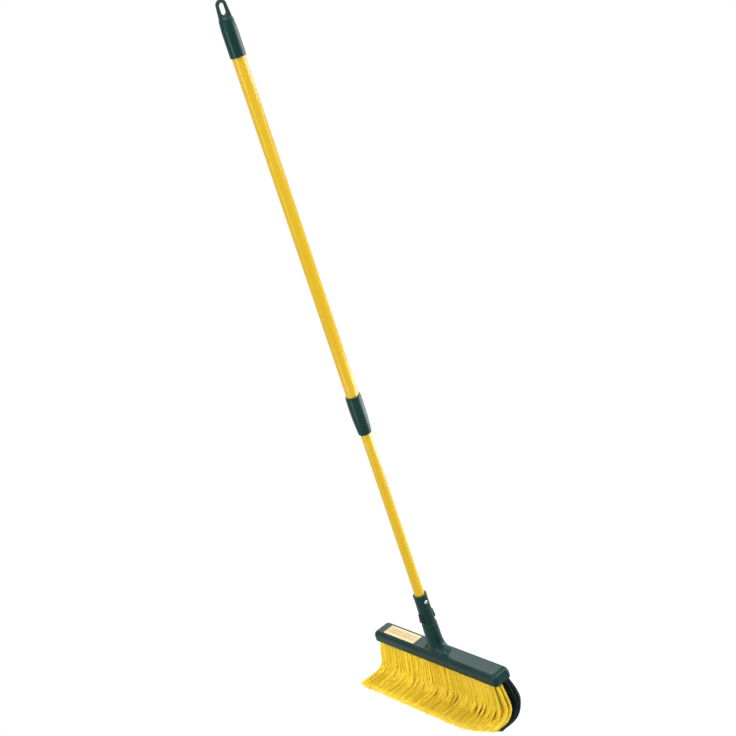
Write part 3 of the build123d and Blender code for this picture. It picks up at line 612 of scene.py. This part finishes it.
def label_film():
    made, tree, shader, place = start_finish("label_film", Coat_Weight=0.2)
    along, across = from_middle(tree, place)
    field = scaled(tree, stretch(tree, across, *STRIPES_ACROSS), stretch(tree, along, *STRIPES_ALONG))
    stripes = scaled(tree, field, stretch(tree, across, *STRIPES_PARTED))
    skin = grain_and_drift(tree, place, grain=260.0, drift=45.0)
    faded = scaled(tree, stripes, stretch(tree, skin["Drift"], 0.0, 1.0, *STRIPES_FADED))
    film = mix_colours(tree, stretch(tree, across, *RIM_ACROSS), FILM, FILM_RIM)
    tree.links.new(mix_colours(tree, faded, film, FILM_STRIPE), shader.inputs["Base Color"])
    vary_roughness(tree, shader, skin["Drift"], *FILM_ROUGHNESS)
    bump(tree, shader, skin["Grain"], **FILM_CRINKLE)
    return made


finishes["label"] = label_film()
print("finish", finishes["label"].name)

# %% [markdown]
# Bristles are drawn from plastic filament. No two take the light alike, so each carries its own tone. Along
# its run a bristle is darker near the root and paler at the tip, and the paler tip is partly frayed ends
# and partly painted light shining through the thin ends. Both values, tone and run, are stored on the mesh
# when the bristles are made, and the finish reads them as attributes.

# %% Bristle finishes
YELLOW_BRISTLE = {
    "light": (0.955, 0.710, 0.042),
    "deep": (0.890, 0.630, 0.030),
    "root": (0.870, 0.610, 0.028),
    # paler tip colour: partly frayed ends, partly painted light shining through the thin ends
    "tip": (0.965, 0.735, 0.060),
    "sheen": 0.4,
}
GREEN_BRISTLE = {
    "light": (0.0045, 0.0300, 0.0310),
    "deep": (0.0007, 0.0062, 0.0060),
    "root": (0.0005, 0.0045, 0.0045),
    "tip": (0.0050, 0.0300, 0.0290),
    "sheen": 0.2,
}
BRISTLE_DRIFT_SHARE = 0.25
BRISTLE_ROOT = {"low": 0.0, "high": 0.22, "new_low": 0.65, "new_high": 0.0}
# The tips turn paler: partly frayed ends, partly painted light shining through the thin ends.
BRISTLE_TIP_FRAY_AND_PAINTED_GLOW = {"low": 0.70, "high": 1.0, "new_low": 0.0, "new_high": 0.6}
BRISTLE_ROUGHNESS = (0.34, 0.52)
BRISTLE_GRAIN = {"strength": 0.10, "distance": 0.0002}


def bristle_filament(name, look):
    made, tree, shader, place = start_finish(name, Specular_IOR_Level=look["sheen"])
    tone = add_node(tree, "ShaderNodeAttribute", attribute_name="strand_tone").outputs["Fac"]
    run = add_node(tree, "ShaderNodeAttribute", attribute_name="strand_run").outputs["Fac"]
    skin = grain_and_drift(tree, place, grain=1500.0, drift=45.0)
    body = mix_colours(tree, tone, look["deep"], look["light"])
    drifted = mix_colours(tree, scaled(tree, skin["Drift"], BRISTLE_DRIFT_SHARE), body, look["deep"])
    rooted = mix_colours(tree, stretch(tree, run, **BRISTLE_ROOT), drifted, look["root"])
    # Paler tips: partly frayed ends, partly painted light shining through the thin ends.
    tip_fray_and_painted_glow = mix_colours(tree, stretch(tree, run, **BRISTLE_TIP_FRAY_AND_PAINTED_GLOW), rooted, look["tip"])
    tree.links.new(tip_fray_and_painted_glow, shader.inputs["Base Color"])
    vary_roughness(tree, shader, tone, *BRISTLE_ROUGHNESS)
    bump(tree, shader, skin["Grain"], **BRISTLE_GRAIN)
    return made


finishes["yellow_bristle"] = bristle_filament("yellow_bristle_filament", YELLOW_BRISTLE)
finishes["green_bristle"] = bristle_filament("green_bristle_filament", GREEN_BRISTLE)
print("finishes", finishes["yellow_bristle"].name, "and", finishes["green_bristle"].name)

# %% [markdown]
# Each slot has its finish now, and every CAD node that names the slot shares it.

# %% Finish every CAD node
for sub_part in frame["record"]["subparts"]:
    node = frame["nodes"][sub_part["node"]]
    node.data.materials.clear()
    node.data.materials.append(finishes[sub_part["material_slot"]])
print(len(frame["nodes"]), "CAD nodes,", len(finishes), "finishes")

# %% [markdown]
# Inside the connector a U-shaped leaf spring holds the two release buttons apart. A rigid spring would
# stick through a pressed button, so it is cut in two at the bottom of the U, into a front half and a rear
# half.

# %% Spring cut in two
SPRING_LOW, SPRING_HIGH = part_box("button_spring")
SPRING_SIDES = {
    "button_spring_front": {"button": "front_button", "leg_y": SPRING_LOW.y},
    "button_spring_rear": {"button": "rear_button", "leg_y": SPRING_HIGH.y},
}
MERGE_DISTANCE = 1e-6


def half_spring(leg_y):
    shape = bmesh.new()
    shape.from_mesh(frame["nodes"]["button_spring"].data)
    bmesh.ops.bisect_plane(
        shape,
        geom=shape.verts[:] + shape.edges[:] + shape.faces[:],
        plane_co=(0, 0, 0),
        plane_no=(0, -leg_y, 0),
        clear_outer=True,
    )
    bmesh.ops.remove_doubles(shape, verts=shape.verts, dist=MERGE_DISTANCE)
    bmesh.ops.holes_fill(shape, edges=[e for e in shape.edges if e.is_boundary])
    bmesh.ops.recalc_face_normals(shape, faces=shape.faces)
    mesh = bpy.data.meshes.new("half_spring")
    shape.to_mesh(mesh)
    shape.free()
    return mesh


for name, side in SPRING_SIDES.items():
    half = bpy.data.objects.new(name, half_spring(side["leg_y"]))
    half.data.materials.append(finishes["steel"])
    bpy.context.scene.collection.objects.link(half)
    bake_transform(half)
    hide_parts("button_spring")
    print(name, len(half.data.polygons), "faces, leg at y", round(side["leg_y"], 4))

# %% [markdown]
# Each row of bristles is set in holes, a bunch to a hole. The top of a CAD row is the slice of backing that
# it is set in, so that slice tells where the row's holes lie and how far they run.

# %% Where the rows are set
BRISTLE_ROWS = [f"yellow_tufts_row_{i}" for i in (1, 2, 3)] + [f"green_tufts_row_{i}" for i in (1, 2, 3)]
BLOCK_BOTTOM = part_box("head_cover")[0].z
BACKING_RISE = 0.002
BACKING_LEVEL = BLOCK_BOTTOM + BACKING_RISE
HOLE_RADIUS = 0.0024


def backing(row_name):
    corners = [v.co for v in frame["nodes"][row_name].data.vertices if v.co.z > BACKING_LEVEL]
    middle = (min(c.y for c in corners) + max(c.y for c in corners)) / 2
    return middle, max(c.x for c in corners) - HOLE_RADIUS


for row_name in BRISTLE_ROWS:
    root_y, half_run = backing(row_name)
    print(row_name, "roots at y", round(root_y, 4), "half run", round(half_run, 4))

# %% [markdown]
# The line of a bristle is two straights joined by a bend. The bend is a short Bezier curve between the
# points where the straights stop short of their corner.

# %% The bend of a bristle
ROOT_POINTS, BEND_POINTS, TIP_POINTS = 6, 8, 6
BRISTLE_POINTS = ROOT_POINTS + BEND_POINTS + TIP_POINTS
BEND_HANDLE = 0.55


def curl(root, corner, tip, bend):
    down = (corner - root).normalized()
    forward = (tip - corner).normalized()
    short = bend * math.tan(down.angle(forward) / 2)
    leave = corner - short * down
    arrive = corner + short * forward
    rounded = interpolate_bezier(
        leave,
        leave.lerp(corner, BEND_HANDLE),
        arrive.lerp(corner, BEND_HANDLE),
        arrive,
        BEND_POINTS,
    )
    first = [root.lerp(leave, i / ROOT_POINTS) for i in range(ROOT_POINTS)]
    last = [arrive.lerp(tip, (i + 1) / TIP_POINTS) for i in range(TIP_POINTS)]
    return first + rounded + last


print(BRISTLE_POINTS, "points on a bristle")

# %% [markdown]
# A bristle leaves its hole straight, rounds the bend and ends pointing forward. The front row bends
# soonest, and each row behind it drops lower and reaches further, so that the rows nest. Every bristle has
# a little scatter in both. Toward the ends of the head the bunches fan out, and at the right end the tips
# are cut back.

# %% The line of a bunch
ROOT_DEPTH = 0.0015
FRONT_SWEEP, REAR_SWEEP = -0.0103, 0.0208
FRONT_DROP, REAR_DROP = 0.0720, 0.0915
FRONT_REACH, REAR_REACH = 0.0605, 0.1050
FRONT_BEND, REAR_BEND = 0.025, 0.042
DROP_SCATTER = 0.0012
LENGTH_SCATTER = 0.0028
RIGHT_TIP_TRIM = 0.024
TRIM_FROM = 0.52
FAN_ANGLE = math.radians(8.5)


def bunch_line(row, place, root_x, root_y, scatter):
    share = row / (len(BRISTLE_ROWS) - 1)
    trim = max(0.0, (place - TRIM_FROM) / (1 - TRIM_FROM))
    corner_y = root_y + FRONT_SWEEP + share * (REAR_SWEEP - FRONT_SWEEP)
    drop = FRONT_DROP + share * (REAR_DROP - FRONT_DROP) + scatter.gauss(0, DROP_SCATTER)
    reach = FRONT_REACH + share * (REAR_REACH - FRONT_REACH) - RIGHT_TIP_TRIM * trim**2
    reach += scatter.gauss(0, LENGTH_SCATTER)
    bend = FRONT_BEND + share * (REAR_BEND - FRONT_BEND)
    root = Vector((0, root_y, 0))
    corner = Vector((0, corner_y, -drop))
    tip = Vector((0, corner_y - reach, -drop))
    tilt = Matrix.Rotation(-place * FAN_ANGLE, 3, "Y")
    hole = Vector((root_x, 0, BLOCK_BOTTOM + ROOT_DEPTH))
    return [tilt @ point + hole for point in curl(root, corner, tip, bend)]


print("bristles drop", FRONT_DROP, "to", REAR_DROP, "m and reach", FRONT_REACH, "to", REAR_REACH, "m")

# %% [markdown]
# Used bristles stick together in locks, and the locks part where they bend. Each parting pushes the
# bristles near it to either side, most at the bend and hardly at the root. Few partings are wide, and they
# are wider toward the right, where the broom has done more work. They go less deep into each row behind
# the first, and the dark rows stay closed, so that nobody sees daylight through the front of the head.
# The random numbers come from a seed, so that each run grows the same broom.

# %% Locks
LOCK_SEED = 7
LOCK_REACH = 0.25
LOCK_WIDTH = (0.007, 0.020)
LOCK_GAP = 0.0074
LOCK_ROWS = 3
LOCK_FADE = (-0.16, 0.06)
LOCK_LEAST = 0.25

lock_scatter = random.Random(LOCK_SEED)
partings = []
parting_x = -LOCK_REACH
while parting_x < LOCK_REACH:
    worn = (parting_x - LOCK_FADE[0]) / (LOCK_FADE[1] - LOCK_FADE[0])
    partings.append((parting_x, LOCK_GAP * lock_scatter.random() ** 2 * min(1.0, max(LOCK_LEAST, worn))))
    parting_x += lock_scatter.uniform(*LOCK_WIDTH)


def lock_push(row, x):
    depth_share = max(0.0, 1 - row / LOCK_ROWS)
    for (left, left_gap), (right, right_gap) in zip(partings, partings[1:]):
        if left <= x < right:
            share = (x - left) / (right - left)
            return depth_share * (left_gap * (1 - share) - right_gap * share)
    return 0.0


print(len(partings), "partings between locks")

# %% [markdown]
# The bristles of a bunch bend alike. Their sway and their crimp follow slow waves along the head, with a
# little scatter, so that neighbouring bunches are like each other and no two are the same.

# %% Habits of a bunch
BUNCH_WAVES = {
    "phase": {"middle": 0.0, "height": 2.4, "along": 5.1, "per_row": 1, "scatter": 0.25},
    "turns": {"middle": 3.5, "height": 0.8, "along": 7.3, "per_row": 2, "scatter": 0.25},
    "crimp": {"middle": 0.0, "height": 2.0, "along": 9.0, "per_row": 1, "scatter": 0.8},
}


def bunch_habits(row, place, scatter):
    habits = {}
    for name, wave in BUNCH_WAVES.items():
        swing = math.sin(wave["along"] * place + wave["per_row"] * row)
        habits[name] = wave["middle"] + wave["height"] * swing + scatter.gauss(0, wave["scatter"])
    habits["tone"] = scatter.random()
    return habits


print("habits of a bunch:", ", ".join(BUNCH_WAVES), "and tone")

# %% [markdown]
# Each bristle in a bunch then gets its own spot in the hole, its own lean and its own start of the crimp.
# The crimp grows from nothing at the root, and the bunch widens below its hole. No line goes below the
# lowest level of the CAD.

# %% One bristle's line
CRIMP_LENGTH = 0.016
CRIMP_HEIGHT = 0.0004
CRIMP_SCATTER = 1.4
SWAY = 0.0022
LEAN = 0.0011
ROOT_SPREAD, FULL_SPREAD = 1.35, 2.0
DEPTH_SPREAD = 0.80
CRIMP_RISE, SPREAD_RISE, DEPTH_RISE = 5, 6, 3
LOCK_AT = 0.56
LOCK_RUN = 0.14
LEVEL_SPARE = 0.0005


def bristle_line(row, line, bunch, scatter):
    angle = scatter.uniform(0, math.tau)
    radius = HOLE_RADIUS * math.sqrt(scatter.random())
    crimp_start = bunch["crimp"] + scatter.gauss(0, CRIMP_SCATTER)
    lean = scatter.gauss(0, LEAN)
    push = lock_push(row, line[0].x + radius * math.cos(angle) * FULL_SPREAD)
    points = []
    length = 0.0
    for i, point in enumerate(line):
        t = i / (len(line) - 1)
        length += (point - line[i - 1]).length if i else 0.0
        wave = math.sin(math.tau * length / CRIMP_LENGTH + crimp_start)
        crimp = CRIMP_HEIGHT * min(1.0, CRIMP_RISE * t) * wave
        spread = ROOT_SPREAD + (FULL_SPREAD - ROOT_SPREAD) * min(1.0, SPREAD_RISE * t)
        side = radius * math.cos(angle) * spread + lean * t
        depth = radius * math.sin(angle) * (1 - (1 - DEPTH_SPREAD) * min(1.0, DEPTH_RISE * t))
        sway = SWAY * t * math.sin(bunch["phase"] + bunch["turns"] * t)
        parted = push * math.exp(-(((t - LOCK_AT) / LOCK_RUN) ** 2))
        moved = point + Vector((side + sway + crimp + parted, depth, crimp + depth * t))
        moved.z = max(moved.z, LOWEST_LEVEL + LEVEL_SPARE)
        points.append(moved)
    return points


print("crimp", CRIMP_HEIGHT, "m high, every", CRIMP_LENGTH, "m")

# %% [markdown]
# A curve turns a line into a thin tube by itself, if it is given a section to draw along the line. A
# triangle serves here: at half a millimetre nobody sees its corners. It is wound clockwise, which turns
# the faces of the tube outward.

# %% Section of a bristle
BRISTLE_RADIUS = 0.00055
SECTION_CORNERS = 3


def triangle_section():
    data = bpy.data.curves.new("bristle_section", "CURVE")
    spline = data.splines.new("POLY")
    spline.points.add(SECTION_CORNERS - 1)
    for i, point in enumerate(spline.points):
        turn = -math.tau * i / SECTION_CORNERS
        point.co = (BRISTLE_RADIUS * math.cos(turn), BRISTLE_RADIUS * math.sin(turn), 0, 1)
    spline.use_cyclic_u = True
    made = bpy.data.objects.new("bristle_section", data)
    bpy.context.scene.collection.objects.link(made)
    return made


section = triangle_section()
print("section with", len(section.data.splines[0].points), "corners")

# %% [markdown]
# A whole row is one curve object with a spline for each bristle. Every other row has one hole fewer than
# its length would take, so that its bunches fall out of step with its neighbours' and hide the gaps. Nearly
# half of a bristle's tone comes from its bunch, and the rest is its own.

# %% Draw one row
ROW_SEED = 100
BUNCH_PITCH = 0.0070
BRISTLES_PER_BUNCH = 26
BUNCH_TONE, OWN_TONE = 0.45, 0.55


def draw_row(row, row_name):
    scatter = random.Random(ROW_SEED + row)
    root_y, half_run = backing(row_name)
    steps = int(2 * half_run / BUNCH_PITCH) - row % 2
    data = bpy.data.curves.new(row_name + "_lines", "CURVE")
    data.dimensions = "3D"
    data.bevel_mode = "OBJECT"
    data.bevel_object = section
    tones = []
    for step in range(steps + 1):
        place = 2 * step / steps - 1
        bunch = bunch_habits(row, place, scatter)
        for _ in range(BRISTLES_PER_BUNCH):
            line = bunch_line(row, place, place * half_run, root_y, scatter)
            points = bristle_line(row, line, bunch, scatter)
            spline = data.splines.new("POLY")
            spline.points.add(len(points) - 1)
            spline.points.foreach_set("co", [v for p in points for v in (*p, 1.0)])
            tones.append(BUNCH_TONE * bunch["tone"] + OWN_TONE * scatter.random())
    return data, tones


print(BRISTLES_PER_BUNCH, "bristles to a bunch, a bunch every", BUNCH_PITCH, "m")

# %% [markdown]
# The curve is then made a mesh, and the tone and the run of each bristle are written onto its points, ring
# by ring from root to tip. The ends of the tubes are still open, so each gets a small face, and the
# normals are turned outward afterwards.


# %% Make a row a mesh
def mesh_row(data, tones):
    lines = bpy.data.objects.new(data.name, data)
    bpy.context.scene.collection.objects.link(lines)
    bpy.context.view_layer.update()
    mesh = bpy.data.meshes.new_from_object(lines.evaluated_get(bpy.context.evaluated_depsgraph_get()))
    bpy.data.objects.remove(lines)
    per_ring = len(mesh.vertices) // (len(tones) * BRISTLE_POINTS)
    tone = mesh.attributes.new("strand_tone", "FLOAT", "POINT")
    run = mesh.attributes.new("strand_run", "FLOAT", "POINT")
    tone.data.foreach_set("value", [v for v in tones for _ in range(per_ring * BRISTLE_POINTS)])
    along = [i / (BRISTLE_POINTS - 1) for i in range(BRISTLE_POINTS) for _ in range(per_ring)]
    run.data.foreach_set("value", along * len(tones))
    return mesh


def close_tips(mesh):
    shape = bmesh.new()
    shape.from_mesh(mesh)
    open_edges = [e for e in shape.edges if e.is_boundary]
    bmesh.ops.holes_fill(shape, edges=open_edges, sides=SECTION_CORNERS)
    bmesh.ops.recalc_face_normals(shape, faces=shape.faces)
    shape.to_mesh(mesh)
    shape.free()
    mesh.shade_smooth()


print("mesh helpers ready")

# %% [markdown]
# The six rows grow from the front of the head to the back. They ride on the lower handle, which carries the
# head, and each takes the place of its CAD row, so that the plain strands no longer show.

# %% Grow all six rows
for row, row_name in enumerate(BRISTLE_ROWS):
    lines, tones = draw_row(row, row_name)
    mesh = mesh_row(lines, tones)
    close_tips(mesh)
    bristles = bpy.data.objects.new(row_name.replace("tufts", "bristles"), mesh)
    bpy.context.scene.collection.objects.link(bristles)
    slot = "yellow_bristle" if row_name.startswith("yellow") else "green_bristle"
    mesh.materials.append(finishes[slot])
    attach(bristles, "lower_handle")
    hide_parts(row_name)
    print(bristles.name, len(tones), "bristles,", len(mesh.polygons), "faces")
bpy.data.objects.remove(section)
